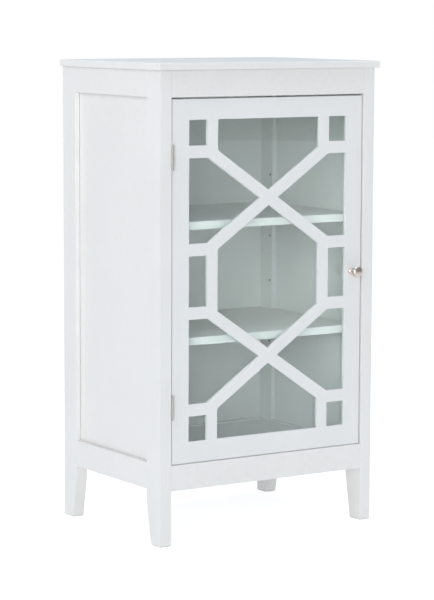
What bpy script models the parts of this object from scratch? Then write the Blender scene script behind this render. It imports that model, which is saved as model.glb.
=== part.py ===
"""Glazed apothecary cabinet: four tapered posts, framed sides, one fretwork door, two shelves.

Metres, +Z up, the front facing -Y. The origin is on the floor, under the middle of the whole
cabinet with its knob. Every board, bead, hinge leaf, pin and screw is one object.
"""

import math

import bmesh
import bpy
from mathutils import Matrix

# ---------------------------------------------------------------- driving dimensions
GAP = 0.0003                    # left between pieces that touch

HEIGHT = 0.914
BODY_WIDTH = 0.494
BODY_DEPTH = 0.365
TOP_THICKNESS = 0.0135
TOP_SIDE_OVERHANG = 0.007
TOP_FRONT_OVERHANG = 0.008

POST_WIDTH = 0.025              # across the front
POST_DEPTH = 0.049              # front to back
FOOT_DEPTH = 0.033              # what the taper leaves at the floor
TAPER_HEIGHT = 0.085
GLIDE_HEIGHT = 0.002
GLIDE_INSET = 0.0006
GLIDE_NAIL_RADIUS = 0.002
GLIDE_NAIL_LENGTH = 0.014

RAIL_HEIGHT = 0.0505            # upper rails
LOWER_RAIL_HEIGHT = 0.0515      # lower side and rear rails
LOWER_FRONT_RAIL_HEIGHT = 0.0495
RAIL_BOTTOM = 0.106             # underside of the lower rails
RAIL_THICKNESS = 0.022          # front and rear rails
GROOVE_DEPTH = 0.006

SIDE_PANEL_RECESS = 0.010
SIDE_PANEL_THICKNESS = 0.005
SIDE_PANEL_SLACK = 0.001        # left in the groove outside each side panel
BACK_PANEL_RECESS = 0.004
BACK_PANEL_THICKNESS = 0.004
FLOOR_THICKNESS = 0.015

SHELF_THICKNESS = 0.015
SHELF_TOPS = {"upper": 0.614, "lower": 0.393}
SHELF_FRONT_SETBACK = 0.025
SHELF_CLEARANCE = 0.001
SHELF_SIDE_CLEARANCE = 0.002    # beside the posts, clear of the pins' collars
PIN_STEPS = (-0.0508, 0.0, 0.0762)     # spare holes below and above each shelf's pins
PIN_RADIUS = 0.0022
PIN_REST_RADIUS = 0.0025
PIN_COLLAR_RADIUS = 0.0036
PIN_COLLAR_LENGTH = 0.0014
PIN_REST_LENGTH = 0.007
PIN_HOLE_DEPTH = 0.0075
PIN_EDGE_DISTANCE = 0.008

DOOR_SIDE_GAP = 0.003
DOOR_TOP_GAP = 0.0035
DOOR_BOTTOM_GAP = 0.001
DOOR_RECESS = 0.003
BOARD_THICKNESS = 0.006         # the fretwork board
DOOR_THICKNESS = 0.018          # board and frame together
FRAME_BORDER = 0.0275           # stiles and rails behind the board
GLASS_THICKNESS = 0.003
GLASS_CLEARANCE = 0.001
BEAD_WIDTH = 0.003

FRET_BAR = 0.0235               # width of every bar of the fretwork
FRET_BORDER_X = 0.0375          # board left beside the windows
FRET_HEIGHT = 0.5025            # the pattern's middle, above the floor
FRET_REACH = 0.305              # from there to the ends of the windows
FRET_COLUMN = 0.1170            # centre line to the long upright bars
FRET_SLOPE = 0.68               # rise over run of the diagonals
FRET_CROSS = 0.153              # height of each crossing from the pattern's middle
FRET_CORNER = 0.2568            # lower edge of an upper corner window
FRET_MIDDLE = 0.0484            # half the height of the middle side windows

HINGE_LENGTH = 0.045
HINGE_SPREAD = 0.236            # each hinge's height from the pattern's middle
HINGE_KNUCKLE_RADIUS = 0.0020
HINGE_BORE_RADIUS = 0.0013
HINGE_PIN_RADIUS = 0.0010
HINGE_PIN_TIP_RADIUS = 0.0018
HINGE_PIN_TIP_LENGTH = 0.0018
HINGE_LEAF_THICKNESS = 0.0010
HINGE_LEAF_WIDTH = 0.018
HINGE_AXIS_PROUD = 0.0018       # axis in front of the posts' front face

KNOB_FROM_EDGE = 0.023
KNOB_REACH = 0.028
KNOB_HEAD_RADIUS = 0.011
KNOB_BASE_RADIUS = 0.0068
KNOB_NECK_RADIUS = 0.0038
KNOB_BORE_RADIUS = 0.0023
KNOB_BORE_DEPTH = 0.012
KNOB_CROWN = 0.0055             # rise of the head's dome
KNOB_RIM_DEPTH = 0.0063         # front to the rear of the head's rim
KNOB_SHOULDER_DEPTH = 0.0088
KNOB_HEAD_DEPTH = 0.0105        # front to the back of the head
KNOB_NECK_DEPTH = 0.0155        # front to where the neck is thinnest
KNOB_BASE_HEIGHT = 0.0022
KNOB_BASE_STEP = 0.0035
KNOB_NECK_BOTTOM = 0.005
DOME_STEPS = 6
SCREW_RADIUS = 0.0019
SCREW_HOLE_RADIUS = 0.0023
SCREW_HEAD_RADIUS = 0.004
SCREW_HEAD_THICKNESS = 0.002
SCREW_TIP_CLEARANCE = 0.002     # left at the bottom of the knob's bore
SCREW_TIP_CHAMFER = 0.001

CATCH_SIZE = (0.013, 0.020, 0.040)
CATCH_TOP = 0.842
CATCH_MAGNET = (0.006, 0.012, 0.026)
CATCH_STANDOFF = 0.0018         # housing behind the back of the door
CATCH_SCREW_RADIUS = 0.0013
CATCH_SCREW_HOLE_RADIUS = 0.0017
CATCH_SCREW_HEAD_RADIUS = 0.0028
CATCH_SCREW_HEAD_THICKNESS = 0.0014
CATCH_SCREW_SPREAD = 0.015
CATCH_SCREW_BITE = 0.008
CATCH_SCREW_POINT = 0.003
STRIKE_SIZE = (0.012, 0.001, 0.045)
STRIKE_TOP = 0.015              # above the catch's middle
STRIKE_SCREW_DROP = 0.025       # below the catch's middle, clear of the housing

ROUND_STEPS = 16
FINE_STEPS = 12
KNOB_STEPS = 28

# ---------------------------------------------------------------- planes worked out from them
HALF_WIDTH = BODY_WIDTH / 2
INNER_X = HALF_WIDTH - POST_WIDTH
FRONT = KNOB_REACH - DOOR_RECESS - (BODY_DEPTH + KNOB_REACH - DOOR_RECESS) / 2
BACK = FRONT + BODY_DEPTH
TOP_UNDERSIDE = HEIGHT - TOP_THICKNESS
CARCASS_TOP = TOP_UNDERSIDE - GAP
UPPER_RAIL_BOTTOM = TOP_UNDERSIDE - RAIL_HEIGHT
LOWER_RAIL_TOP = RAIL_BOTTOM + LOWER_RAIL_HEIGHT
FLOOR_TOP = RAIL_BOTTOM + LOWER_FRONT_RAIL_HEIGHT
FRONT_POST_REAR = FRONT + POST_DEPTH
REAR_POST_FRONT = BACK - POST_DEPTH
PANEL_OUTER_X = HALF_WIDTH - SIDE_PANEL_RECESS
PANEL_INNER_X = PANEL_OUTER_X - SIDE_PANEL_THICKNESS
BACK_PANEL_REAR = BACK - BACK_PANEL_RECESS
BACK_PANEL_FRONT = BACK_PANEL_REAR - BACK_PANEL_THICKNESS
PIN_FRONT_Y = FRONT_POST_REAR - PIN_EDGE_DISTANCE
PIN_REAR_Y = REAR_POST_FRONT + PIN_EDGE_DISTANCE

DOOR_HALF_WIDTH = INNER_X - DOOR_SIDE_GAP
DOOR_BOTTOM = FLOOR_TOP + DOOR_BOTTOM_GAP
DOOR_TOP = UPPER_RAIL_BOTTOM - DOOR_TOP_GAP
DOOR_FACE = FRONT + DOOR_RECESS
BOARD_REAR = DOOR_FACE + BOARD_THICKNESS
FRAME_FACE = BOARD_REAR + GAP
DOOR_REAR = DOOR_FACE + DOOR_THICKNESS
GLASS_REAR = FRAME_FACE + GLASS_THICKNESS

HINGE_X = -(INNER_X - DOOR_SIDE_GAP / 2)
HINGE_Y = FRONT - HINGE_AXIS_PROUD
KNOB_X = DOOR_HALF_WIDTH - KNOB_FROM_EDGE


# ---------------------------------------------------------------- making and placing objects
def clear_scene():
    for obj in list(bpy.data.objects):
        bpy.data.objects.remove(obj, do_unlink=True)


def new_collection(name):
    collection = bpy.data.collections.new(name)
    bpy.context.scene.collection.children.link(collection)
    return collection


def make_material(name, colour, roughness, metallic=0.0):
    material = bpy.data.materials.new(name)
    material.use_nodes = True
    shader = material.node_tree.nodes["Principled BSDF"]
    shader.inputs["Base Color"].default_value = (*colour, 1.0)
    shader.inputs["Roughness"].default_value = roughness
    shader.inputs["Metallic"].default_value = metallic
    material.diffuse_color = (*colour, 1.0)
    return material


def add_object(name, data, collection, place, parent=None):
    """Links data as an object at a world place, under its parent empty if it has one."""
    obj = bpy.data.objects.new(name, data)
    collection.objects.link(obj)
    obj.parent = parent
    start = parent.location if parent else (0.0, 0.0, 0.0)
    obj.location = [place[i] - start[i] for i in range(3)]
    return obj


def box_mesh(name, size):
    mesh = bpy.data.meshes.new(name)
    shape = bmesh.new()
    bmesh.ops.create_cube(shape, size=1.0)
    bmesh.ops.scale(shape, vec=size, verts=shape.verts)
    shape.to_mesh(mesh)
    shape.free()
    return mesh


def add_box(name, low, high, material, parent=None):
    size = [high[i] - low[i] for i in range(3)]
    middle = [(high[i] + low[i]) / 2 for i in range(3)]
    obj = add_object(name, box_mesh(name, size), parts, middle, parent)
    obj.data.materials.append(material)
    return obj


def add_outline(name, outlines, thickness, material, place, turn=(0.0, 0.0, 0.0), parent=None):
    """A flat board: its first outline is the edge, the others are holes right through it."""
    curve = bpy.data.curves.new(name, "CURVE")
    curve.dimensions = "2D"
    curve.fill_mode = "BOTH"
    curve.extrude = thickness / 2
    for points in outlines:
        spline = curve.splines.new("POLY")
        spline.points.add(len(points) - 1)
        for point, (across, up) in zip(spline.points, points):
            point.co = (across, up, 0.0, 1.0)
        spline.use_cyclic_u = True
    obj = add_object(name, curve, parts, place, parent)
    obj.rotation_euler = turn
    bpy.context.view_layer.update()
    solid = bpy.data.meshes.new_from_object(obj.evaluated_get(bpy.context.evaluated_depsgraph_get()))
    bpy.data.objects.remove(obj, do_unlink=True)
    bpy.data.curves.remove(curve)
    shape = bmesh.new()
    shape.from_mesh(solid)
    bmesh.ops.remove_doubles(shape, verts=shape.verts, dist=0.00001)
    shape.to_mesh(solid)
    shape.free()
    solid.name = name
    board = add_object(name, solid, parts, place, parent)
    board.rotation_euler = turn
    solid.materials.clear()
    solid.materials.append(material)
    return board


def turned_mesh(name, profile):
    """The edge of a turned piece, from its top to its bottom, in the local X-Z plane."""
    mesh = bpy.data.meshes.new(name)
    shape = bmesh.new()
    verts = [shape.verts.new((radius, 0.0, height)) for radius, height in profile]
    for first, second in zip(verts, verts[1:]):
        shape.edges.new((first, second))
    shape.to_mesh(mesh)
    shape.free()
    return mesh


def add_turned(name, mesh, steps, material, place, turn=(0.0, 0.0, 0.0), parent=None):
    obj = add_object(name, mesh, parts, place, parent)
    obj.rotation_euler = turn
    screw = obj.modifiers.new("turn", "SCREW")
    screw.steps = steps
    screw.render_steps = steps
    screw.use_merge_vertices = True
    screw.merge_threshold = 0.00001
    screw.use_smooth_shade = True
    if not mesh.materials:
        mesh.materials.append(material)
    return obj


def add_cylinders(shape, centres, radius, length, axis, steps):
    """Adds round bars to a mesh, centred on the given places and lying along one axis."""
    for centre in centres:
        made = bmesh.ops.create_cone(shape, cap_ends=True, segments=steps, radius1=radius,
                                     radius2=radius, depth=length)
        if axis != "z":
            turn = Matrix.Rotation(math.pi / 2, 3, "Y" if axis == "x" else "X")
            bmesh.ops.rotate(shape, verts=made["verts"], cent=(0.0, 0.0, 0.0), matrix=turn)
        bmesh.ops.translate(shape, verts=made["verts"], vec=centre)


def round_cutter(name, centres, radius, length, axis, steps=FINE_STEPS):
    mesh = bpy.data.meshes.new(name)
    shape = bmesh.new()
    add_cylinders(shape, centres, radius, length, axis, steps)
    shape.to_mesh(mesh)
    shape.free()
    return hidden_tool(name, mesh)


def box_cutter(name, low, high):
    size = [high[i] - low[i] for i in range(3)]
    middle = [(high[i] + low[i]) / 2 for i in range(3)]
    return hidden_tool(name, box_mesh(name, size), middle)


def hidden_tool(name, mesh, place=(0.0, 0.0, 0.0)):
    obj = add_object(name, mesh, cutters, place)
    obj.hide_render = True
    obj.display_type = "WIRE"
    return obj


def combine(obj, tool, operation):
    modifier = obj.modifiers.new(tool.name, "BOOLEAN")
    modifier.operation = operation
    modifier.solver = "EXACT"
    modifier.object = tool


def cut(obj, tool):
    combine(obj, tool, "DIFFERENCE")


def side_name(side):
    return "left" if side < 0 else "right"


def mirrored(side, near, far):
    """Two distances from the middle, as low and high X on the given side."""
    return (near, far) if side > 0 else (-far, -near)


# ---------------------------------------------------------------- carcass
def make_post(side, end):
    """A full-height post, tapered at its foot on the edge that faces the other post."""
    straight = FRONT if end == "front" else BACK
    inward = 1 if end == "front" else -1
    post_bottom = GLIDE_HEIGHT + GAP
    foot = FOOT_DEPTH + (POST_DEPTH - FOOT_DEPTH) * post_bottom / TAPER_HEIGHT
    edge = [(0.0, post_bottom), (inward * foot, post_bottom), (inward * POST_DEPTH, TAPER_HEIGHT),
            (inward * POST_DEPTH, CARCASS_TOP), (0.0, CARCASS_TOP)]
    name = f"post_{end}_{side_name(side)}"
    middle_x = side * (HALF_WIDTH - POST_WIDTH / 2)
    post = add_outline(name, [edge], POST_WIDTH, white, (middle_x, straight, 0.0),
                       turn=(math.pi / 2, 0.0, math.pi / 2))

    inner_edge = FRONT_POST_REAR if end == "front" else REAR_POST_FRONT
    low_x, high_x = mirrored(side, PANEL_INNER_X - GAP, PANEL_OUTER_X + SIDE_PANEL_SLACK)
    groove_y = sorted((inner_edge - inward * GROOVE_DEPTH, inner_edge + inward * GROOVE_DEPTH))
    groove_bottom = LOWER_RAIL_TOP - GROOVE_DEPTH
    groove_top = UPPER_RAIL_BOTTOM + GROOVE_DEPTH
    cut(post, box_cutter(name + "_side_groove", (low_x, groove_y[0], groove_bottom),
                         (high_x, groove_y[1], groove_top)))
    if end == "rear":
        low_x, high_x = mirrored(side, INNER_X - GROOVE_DEPTH, INNER_X + GROOVE_DEPTH)
        cut(post, box_cutter(name + "_back_groove", (low_x, BACK_PANEL_FRONT - GAP, groove_bottom),
                             (high_x, BACK_PANEL_REAR + GAP, groove_top)))

    pin_y = PIN_FRONT_Y if end == "front" else PIN_REAR_Y
    heights = [pin_height(shelf) + step for shelf in SHELF_TOPS for step in PIN_STEPS]
    mouths = [(side * INNER_X, pin_y, height) for height in heights]
    cut(post, round_cutter(name + "_pin_holes", mouths, PIN_REST_RADIUS, 2 * PIN_HOLE_DEPTH, "x"))
    cut(post, round_cutter(name + "_nail_hole", [glide_centre(side, end)], GLIDE_NAIL_RADIUS + GAP,
                           2 * (GLIDE_HEIGHT + GLIDE_NAIL_LENGTH + GAP), "z"))
    if end == "front" and side > 0:
        cut(post, round_cutter(name + "_catch_holes", catch_screw_places(INNER_X), CATCH_SCREW_HOLE_RADIUS,
                               2 * (CATCH_SCREW_BITE + GAP), "x"))


def glide_centre(side, end):
    straight = FRONT if end == "front" else BACK
    inward = 1 if end == "front" else -1
    return (side * (HALF_WIDTH - POST_WIDTH / 2), straight + inward * FOOT_DEPTH / 2, 0.0)


def make_glide(side, end):
    """A nail-on plastic glide under a foot, a hair smaller than the foot all round."""
    centre = glide_centre(side, end)
    half = (POST_WIDTH / 2 - GLIDE_INSET, FOOT_DEPTH / 2 - GLIDE_INSET)
    name = f"foot_glide_{end}_{side_name(side)}"
    glide = add_box(name, (centre[0] - half[0], centre[1] - half[1], 0.0),
                    (centre[0] + half[0], centre[1] + half[1], GLIDE_HEIGHT), plastic)
    nail_middle = GLIDE_HEIGHT / 2 + GLIDE_NAIL_LENGTH / 2
    combine(glide, round_cutter(name + "_nail", [(centre[0], centre[1], nail_middle)], GLIDE_NAIL_RADIUS,
                                GLIDE_HEIGHT + GLIDE_NAIL_LENGTH, "z"), "UNION")


def make_side_frame(side):
    """The two rails and the grooved panel between a front and a rear post."""
    low_x, high_x = mirrored(side, INNER_X, HALF_WIDTH)
    panel_x = mirrored(side, PANEL_INNER_X, PANEL_OUTER_X)
    front = FRONT_POST_REAR + GAP
    rear = REAR_POST_FRONT - GAP
    label = side_name(side)
    groove_x = mirrored(side, PANEL_INNER_X - GAP, PANEL_OUTER_X + SIDE_PANEL_SLACK)
    upper = add_box(f"side_rail_upper_{label}", (low_x, front, UPPER_RAIL_BOTTOM),
                    (high_x, rear, CARCASS_TOP), white)
    lower = add_box(f"side_rail_lower_{label}", (low_x, front, RAIL_BOTTOM),
                    (high_x, rear, LOWER_RAIL_TOP), white)
    for rail, edge in ((upper, UPPER_RAIL_BOTTOM), (lower, LOWER_RAIL_TOP)):
        cut(rail, box_cutter(rail.name + "_groove", (groove_x[0], front - GAP, edge - GROOVE_DEPTH),
                             (groove_x[1], rear + GAP, edge + GROOVE_DEPTH)))
    tongue = GROOVE_DEPTH - GAP
    add_box(f"side_panel_{label}", (panel_x[0], FRONT_POST_REAR - tongue, LOWER_RAIL_TOP - tongue),
            (panel_x[1], REAR_POST_FRONT + tongue, UPPER_RAIL_BOTTOM + tongue), white)


def make_cross_rails():
    """The four rails between the posts. The rear ones are grooved for the back panel."""
    reach = INNER_X - GAP
    front_rear = FRONT + RAIL_THICKNESS
    add_box("front_rail_upper", (-reach, FRONT, UPPER_RAIL_BOTTOM), (reach, front_rear, CARCASS_TOP), white)
    add_box("front_rail_lower", (-reach, FRONT, RAIL_BOTTOM), (reach, front_rear, FLOOR_TOP), white)
    heights = {"upper": (UPPER_RAIL_BOTTOM, CARCASS_TOP), "lower": (RAIL_BOTTOM, LOWER_RAIL_TOP)}
    for level, (bottom, top) in heights.items():
        rear = add_box(f"rear_rail_{level}", (-reach, BACK - RAIL_THICKNESS, bottom), (reach, BACK, top),
                       white)
        edge = bottom if level == "upper" else top
        cut(rear, box_cutter(rear.name + "_groove",
                             (-INNER_X, BACK_PANEL_FRONT - GAP, edge - GROOVE_DEPTH),
                             (INNER_X, BACK_PANEL_REAR + GAP, edge + GROOVE_DEPTH)))


def make_back_floor_and_top():
    tongue = GROOVE_DEPTH - GAP
    add_box("back_panel", (-INNER_X - tongue, BACK_PANEL_FRONT, LOWER_RAIL_TOP - tongue),
            (INNER_X + tongue, BACK_PANEL_REAR, UPPER_RAIL_BOTTOM + tongue), white)
    add_box("bottom_board", (-INNER_X + GAP, FRONT + RAIL_THICKNESS + GAP, FLOOR_TOP - FLOOR_THICKNESS),
            (INNER_X - GAP, BACK - RAIL_THICKNESS - GAP, FLOOR_TOP), white)
    reach = HALF_WIDTH + TOP_SIDE_OVERHANG
    add_box("top_board", (-reach, FRONT - TOP_FRONT_OVERHANG, TOP_UNDERSIDE), (reach, BACK, HEIGHT), white)


# ---------------------------------------------------------------- shelves
def pin_height(shelf):
    return SHELF_TOPS[shelf] - SHELF_THICKNESS - GAP - PIN_REST_RADIUS


def make_shelf(shelf):
    """A shelf notched at its corners round the four posts, so that it reaches the side panels."""
    narrow = INNER_X - SHELF_SIDE_CLEARANCE
    wide = PANEL_INNER_X - SHELF_CLEARANCE
    front = FRONT + SHELF_FRONT_SETBACK
    rear = BACK_PANEL_FRONT - SHELF_CLEARANCE
    front_notch = FRONT_POST_REAR + SHELF_CLEARANCE
    rear_notch = REAR_POST_FRONT - SHELF_CLEARANCE
    half = [(narrow, front), (narrow, front_notch), (wide, front_notch),
            (wide, rear_notch), (narrow, rear_notch), (narrow, rear)]
    edge = half + [(-across, along) for across, along in reversed(half)]
    middle = SHELF_TOPS[shelf] - SHELF_THICKNESS / 2
    add_outline(f"shelf_{shelf}", [edge], SHELF_THICKNESS, white, (0.0, 0.0, middle))


def make_shelf_pins():
    """Eight turned pins, each in its post's hole, with a collar and a round rest for the shelf."""
    tip = PIN_HOLE_DEPTH - GAP
    edge = PIN_COLLAR_LENGTH + GAP
    profile = [(0.0, edge + PIN_REST_LENGTH), (PIN_REST_RADIUS, edge + PIN_REST_LENGTH),
               (PIN_REST_RADIUS, edge), (PIN_COLLAR_RADIUS, edge), (PIN_COLLAR_RADIUS, GAP),
               (PIN_RADIUS, GAP), (PIN_RADIUS, -tip), (0.0, -tip)]
    mesh = turned_mesh("shelf_pin", profile)
    for shelf in SHELF_TOPS:
        for end, along in (("front", PIN_FRONT_Y), ("rear", PIN_REAR_Y)):
            for side in (-1, 1):
                add_turned(f"shelf_pin_{shelf}_{end}_{side_name(side)}", mesh, FINE_STEPS, nickel,
                           (side * INNER_X, along, pin_height(shelf)), turn=(0.0, -side * math.pi / 2, 0.0))


# ---------------------------------------------------------------- door
def fretwork_windows():
    """The windows of the fretwork, about the pattern's middle: an outline for each one."""
    side = DOOR_HALF_WIDTH - FRET_BORDER_X
    end = FRET_REACH
    column = FRET_COLUMN + FRET_BAR
    half_bar = FRET_BAR / 2 * math.hypot(1.0, FRET_SLOPE)
    apex = FRET_CROSS + half_bar
    notch = FRET_CROSS - half_bar
    shoulder = FRET_CORNER - FRET_BAR
    waist = FRET_MIDDLE + FRET_BAR
    bend = (shoulder - notch) / FRET_SLOPE
    windows = [
        [(-FRET_COLUMN, notch - FRET_SLOPE * FRET_COLUMN), (0.0, notch),
         (FRET_COLUMN, notch - FRET_SLOPE * FRET_COLUMN), (FRET_COLUMN, FRET_SLOPE * FRET_COLUMN - notch),
         (0.0, -notch), (-FRET_COLUMN, FRET_SLOPE * FRET_COLUMN - notch)]]
    for up in (-1, 1):
        big = [(-FRET_COLUMN, end), (FRET_COLUMN, end), (FRET_COLUMN, apex + FRET_SLOPE * FRET_COLUMN),
               (0.0, apex), (-FRET_COLUMN, apex + FRET_SLOPE * FRET_COLUMN)]
        windows.append([(across, up * height) for across, height in big])
    for over in (-1, 1):
        windows.append([(over * column, -FRET_MIDDLE), (over * side, -FRET_MIDDLE),
                        (over * side, FRET_MIDDLE), (over * column, FRET_MIDDLE)])
        for up in (-1, 1):
            corner = [(column, FRET_CORNER), (side, FRET_CORNER), (side, end), (column, end)]
            wedge = [(half_bar / FRET_SLOPE, FRET_CROSS), (bend, shoulder), (side, shoulder),
                     (side, waist), (bend, waist)]
            windows.append([(over * across, up * height) for across, height in corner])
            windows.append([(over * across, up * height) for across, height in wedge])
    return windows


def circle(centre, radius, steps):
    return [(centre[0] + radius * math.cos(2 * math.pi * i / steps),
             centre[1] + radius * math.sin(2 * math.pi * i / steps)) for i in range(steps)]


def make_door_board():
    """The one-piece fretwork board that is the whole face of the door."""
    low = DOOR_BOTTOM - FRET_HEIGHT
    high = DOOR_TOP - FRET_HEIGHT
    rim = [(-DOOR_HALF_WIDTH, low), (DOOR_HALF_WIDTH, low),
           (DOOR_HALF_WIDTH, high), (-DOOR_HALF_WIDTH, high)]
    screw_hole = circle((KNOB_X, 0.0), SCREW_HOLE_RADIUS, FINE_STEPS)
    add_outline("door_fretwork_board", [rim, *fretwork_windows(), screw_hole], BOARD_THICKNESS,
                door_white, (0.0, DOOR_FACE + BOARD_THICKNESS / 2, FRET_HEIGHT),
                turn=(math.pi / 2, 0.0, 0.0), parent=door)


def make_door_frame():
    """Stiles and rails behind the board, with the glass and its four beads inside them."""
    inner_x = DOOR_HALF_WIDTH - FRAME_BORDER
    inner_low = DOOR_BOTTOM + FRAME_BORDER
    inner_high = DOOR_TOP - FRAME_BORDER
    for side in (-1, 1):
        low_x, high_x = mirrored(side, inner_x, DOOR_HALF_WIDTH)
        name = "door_stile_hinge_side" if side < 0 else "door_stile_knob_side"
        stile = add_box(name, (low_x, FRAME_FACE, DOOR_BOTTOM), (high_x, DOOR_REAR, DOOR_TOP),
                        door_white, door)
        if side > 0:
            cut(stile, round_cutter(name + "_screw_hole", [(KNOB_X, DOOR_REAR, FRET_HEIGHT)],
                                    SCREW_HOLE_RADIUS, 4 * DOOR_THICKNESS, "y"))
            cut(stile, round_cutter(name + "_strike_hole", [strike_screw_place()],
                                    CATCH_SCREW_HOLE_RADIUS, 2 * (CATCH_SCREW_BITE + GAP), "y"))
    reach = inner_x - GAP
    add_box("door_rail_upper", (-reach, FRAME_FACE, inner_high), (reach, DOOR_REAR, DOOR_TOP),
            door_white, door)
    add_box("door_rail_lower", (-reach, FRAME_FACE, DOOR_BOTTOM), (reach, DOOR_REAR, inner_low),
            door_white, door)

    glass_x = inner_x - GLASS_CLEARANCE
    add_box("door_glass", (-glass_x, FRAME_FACE, inner_low + GLASS_CLEARANCE),
            (glass_x, GLASS_REAR, inner_high - GLASS_CLEARANCE), glass, door)

    bead_face = GLASS_REAR + GAP
    bead_rear = DOOR_REAR - GAP
    outer_x = inner_x - GAP
    outer_low = inner_low + GAP
    outer_high = inner_high - GAP
    for side in (-1, 1):
        low_x, high_x = mirrored(side, outer_x - BEAD_WIDTH, outer_x)
        add_box(f"glass_bead_{side_name(side)}", (low_x, bead_face, outer_low),
                (high_x, bead_rear, outer_high), door_white, door)
    bead_reach = outer_x - BEAD_WIDTH - GAP
    add_box("glass_bead_upper", (-bead_reach, bead_face, outer_high - BEAD_WIDTH),
            (bead_reach, bead_rear, outer_high), door_white, door)
    add_box("glass_bead_lower", (-bead_reach, bead_face, outer_low),
            (bead_reach, bead_rear, outer_low + BEAD_WIDTH), door_white, door)


def make_knob():
    """A turned mushroom knob, pulled on by a machine screw from inside the door."""
    reach = KNOB_REACH
    profile = [(0.0, reach)]
    for i in range(1, DOME_STEPS):
        angle = math.pi / 2 * i / DOME_STEPS
        profile.append((KNOB_HEAD_RADIUS * math.sin(angle), reach - KNOB_CROWN * (1 - math.cos(angle))))
    profile += [(KNOB_HEAD_RADIUS, reach - KNOB_RIM_DEPTH),
                (KNOB_HEAD_RADIUS * 0.93, reach - KNOB_SHOULDER_DEPTH),
                (KNOB_HEAD_RADIUS * 0.72, reach - KNOB_HEAD_DEPTH),
                (KNOB_NECK_RADIUS, reach - KNOB_NECK_DEPTH), (KNOB_NECK_RADIUS, KNOB_NECK_BOTTOM),
                (KNOB_BASE_RADIUS * 0.86, KNOB_BASE_STEP), (KNOB_BASE_RADIUS, KNOB_BASE_HEIGHT),
                (KNOB_BASE_RADIUS, GAP), (KNOB_BORE_RADIUS, GAP),
                (KNOB_BORE_RADIUS, KNOB_BORE_DEPTH), (0.0, KNOB_BORE_DEPTH)]
    add_turned("door_knob", turned_mesh("door_knob", profile), KNOB_STEPS, nickel,
               (KNOB_X, DOOR_FACE, FRET_HEIGHT), turn=(math.pi / 2, 0.0, 0.0), parent=door)

    tip = DOOR_THICKNESS + KNOB_BORE_DEPTH - SCREW_TIP_CLEARANCE
    head = -GAP - SCREW_HEAD_THICKNESS
    screw = [(0.0, tip), (SCREW_RADIUS * 0.7, tip), (SCREW_RADIUS, tip - SCREW_TIP_CHAMFER),
             (SCREW_RADIUS, -GAP), (SCREW_HEAD_RADIUS, -GAP), (SCREW_HEAD_RADIUS * 0.9, head * 0.7),
             (SCREW_HEAD_RADIUS * 0.5, head), (0.0, head)]
    add_turned("knob_screw", turned_mesh("knob_screw", screw), ROUND_STEPS, steel,
               (KNOB_X, DOOR_REAR, FRET_HEIGHT), turn=(math.pi / 2, 0.0, 0.0), parent=door)


# ---------------------------------------------------------------- hinges
def make_hinge(level, height):
    """A butt hinge of two leaves and a pin: the frame leaf holds the outer knuckles."""
    third = HINGE_LENGTH / 3
    low = height - HINGE_LENGTH / 2
    spans = [(low, low + third - GAP / 2), (low + third + GAP / 2, low + 2 * third - GAP / 2),
             (low + 2 * third + GAP / 2, low + 3 * third)]
    make_leaf(f"hinge_{level}_frame_leaf", -1, height, (spans[0], spans[2]), None)
    make_leaf(f"hinge_{level}_door_leaf", 1, height, (spans[1],), door)

    end = HINGE_LENGTH / 2 + GAP
    tip = end + HINGE_PIN_TIP_LENGTH
    half = [(0.0, tip), (HINGE_PIN_TIP_RADIUS * 0.7, tip - HINGE_PIN_TIP_LENGTH * 0.22),
            (HINGE_PIN_TIP_RADIUS, end + HINGE_PIN_TIP_LENGTH * 0.33), (HINGE_PIN_TIP_RADIUS, end),
            (HINGE_PIN_RADIUS, end)]
    profile = half + [(radius, -up) for radius, up in reversed(half)]
    add_turned(f"hinge_{level}_pin", turned_mesh(f"hinge_{level}_pin", profile), FINE_STEPS, nickel,
               (HINGE_X, HINGE_Y, height))


def make_leaf(name, side, height, knuckles, parent):
    """One leaf: a plate on the wood (side -1 the post, +1 the door) and its bored knuckles."""
    wood = HINGE_X + side * DOOR_SIDE_GAP / 2
    plate_x = sorted((wood - side * GAP, wood - side * (GAP + HINGE_LEAF_THICKNESS)))
    plate_front = HINGE_Y + HINGE_KNUCKLE_RADIUS + 2 * GAP
    half = HINGE_LENGTH / 2
    leaf = add_box(name, (plate_x[0], plate_front, height - half),
                   (plate_x[1], HINGE_Y + HINGE_LEAF_WIDTH, height + half), nickel, parent)
    for index, (low, high) in enumerate(knuckles):
        bridge = box_cutter(f"{name}_bridge_{index}", (plate_x[0], HINGE_Y, low),
                            (plate_x[1], plate_front + HINGE_LEAF_THICKNESS, high))
        combine(leaf, bridge, "UNION")
        middle = (HINGE_X, HINGE_Y, (low + high) / 2)
        barrel = round_cutter(f"{name}_knuckle_{index}", [middle], HINGE_KNUCKLE_RADIUS, high - low,
                              "z", ROUND_STEPS)
        combine(leaf, barrel, "UNION")
    cut(leaf, round_cutter(f"{name}_bore", [(HINGE_X, HINGE_Y, height)], HINGE_BORE_RADIUS,
                           1.2 * HINGE_LENGTH, "z", FINE_STEPS))


# ---------------------------------------------------------------- magnetic catch
def catch_middle():
    return CATCH_TOP - CATCH_SIZE[2] / 2


def catch_screw_places(across):
    along = DOOR_REAR + CATCH_STANDOFF + CATCH_SIZE[1] * 0.8
    return [(across, along, catch_middle() + step) for step in (-CATCH_SCREW_SPREAD, CATCH_SCREW_SPREAD)]


def strike_x():
    return INNER_X - GAP - CATCH_SIZE[0] / 2


def strike_screw_place():
    return (strike_x(), DOOR_REAR, catch_middle() - STRIKE_SCREW_DROP)


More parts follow.
